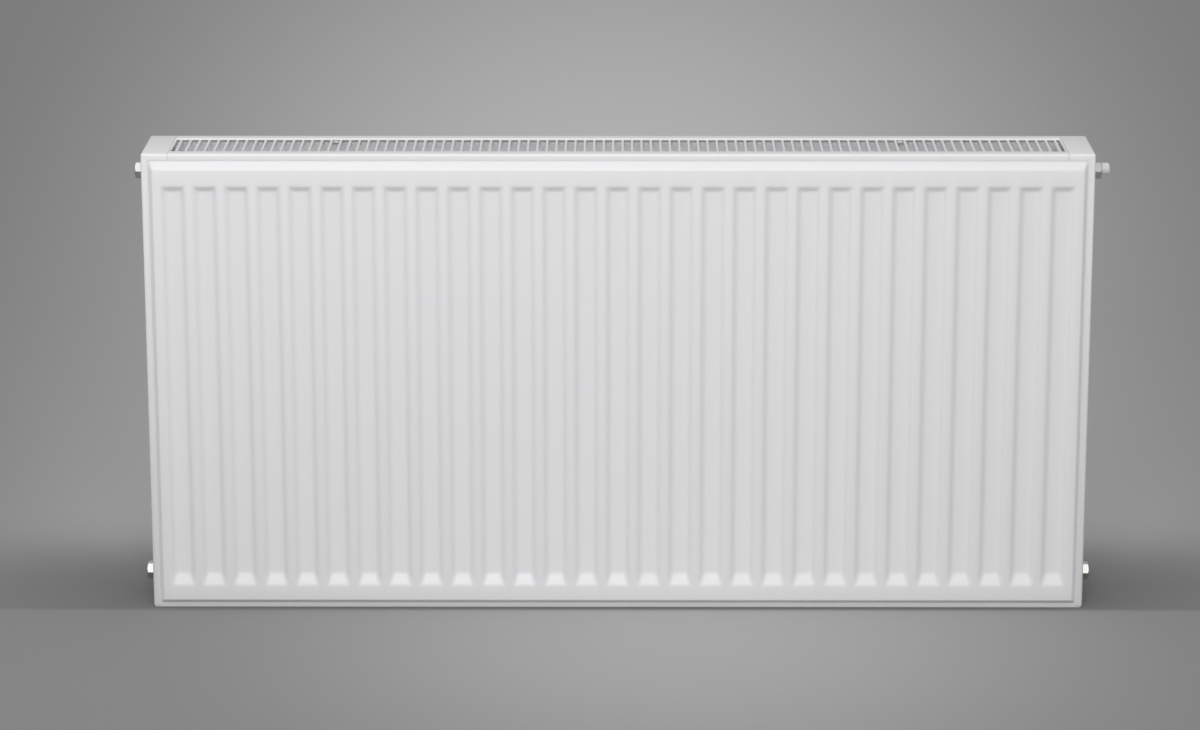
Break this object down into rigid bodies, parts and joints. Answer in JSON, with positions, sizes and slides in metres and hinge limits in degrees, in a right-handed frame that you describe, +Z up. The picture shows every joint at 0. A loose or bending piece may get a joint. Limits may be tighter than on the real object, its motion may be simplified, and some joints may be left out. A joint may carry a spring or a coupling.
{
  "type": "panel radiator with bleed valve",
  "caption": "White steel panel radiator with vertical flutes, slotted top grille, side covers, blind plugs and a bleed valve with a turning nozzle at the top right.",
  "frame": {"origin": "on the floor line under the middle of the radiator, half way along its length and half way between the front and rear panel faces", "axes": "+X along the radiator towards the bleed valve's end, -Y out of the fluted front into the room, +Y towards the wall, +Z up"},
  "size_m": [1.031, 0.108, 0.5],
  "materials": {
    "white_enamel": "smooth baked white enamel, half gloss",
    "nickel_plate": "bright nickel plate on brass",
    "screw_brass": "turned brass",
    "seal_rubber": "soft black seal rubber",
    "white_plastic": "moulded white plastic"
  },
  "bodies": {
    "radiator": {"front_panel_room_sheet": "white_enamel", "front_panel_inner_sheet": "white_enamel", "rear_panel_inner_sheet": "white_enamel", "rear_panel_wall_sheet": "white_enamel", "front_convector": "white_enamel", "rear_convector": "white_enamel", "upper_tees": "white_enamel", "lower_tees": "white_enamel", "blind_plugs": "nickel_plate", "bleed_valve_body": "nickel_plate", "upper_hanging_lugs": "white_enamel", "lower_hanging_lugs": "white_enamel", "front_grille_clips": "white_plastic", "rear_grille_clips": "white_plastic"},
    "grille": {"top_grille": "white_enamel"},
    "left_cover": {"left_side_cover": "white_enamel"},
    "right_cover": {"right_side_cover": "white_enamel"},
    "seal_carrier": {"bleed_seal_tip": "seal_rubber"},
    "key_screw": {"bleed_screw": "screw_brass"},
    "nozzle": {"bleed_nozzle": "white_plastic"}
  },
  "joints": [
    {"name": "grille_lift", "type": "slide", "parent": "radiator", "child": "grille", "axis": [0, 0, 1], "range_m": [0, 0.06]},
    {"name": "left_cover_pull", "type": "slide", "parent": "radiator", "child": "left_cover", "axis": [-1, 0, 0], "range_m": [0, 0.04]},
    {"name": "right_cover_pull", "type": "slide", "parent": "radiator", "child": "right_cover", "axis": [1, 0, 0], "range_m": [0, 0.04]},
    {"name": "bleed_seal_slide", "type": "slide", "parent": "radiator", "child": "seal_carrier", "axis": [1, 0, 0], "range_m": [0, 0.0015]},
    {"name": "bleed_screw_turn", "type": "hinge", "parent": "seal_carrier", "child": "key_screw", "pos_m": [0.51, 0, 0.473], "axis": [1, 0, 0], "range_deg": [0, 540.1]},
    {"name": "nozzle_swivel", "type": "hinge", "parent": "radiator", "child": "nozzle", "pos_m": [0.5155, 0, 0.473], "axis": [1, 0, 0], "continuous": true}
  ],
  "couplings": [
    {"joint": "bleed_screw_turn", "follows": "bleed_seal_slide", "rad_per_m": 6283.2}
  ]
}
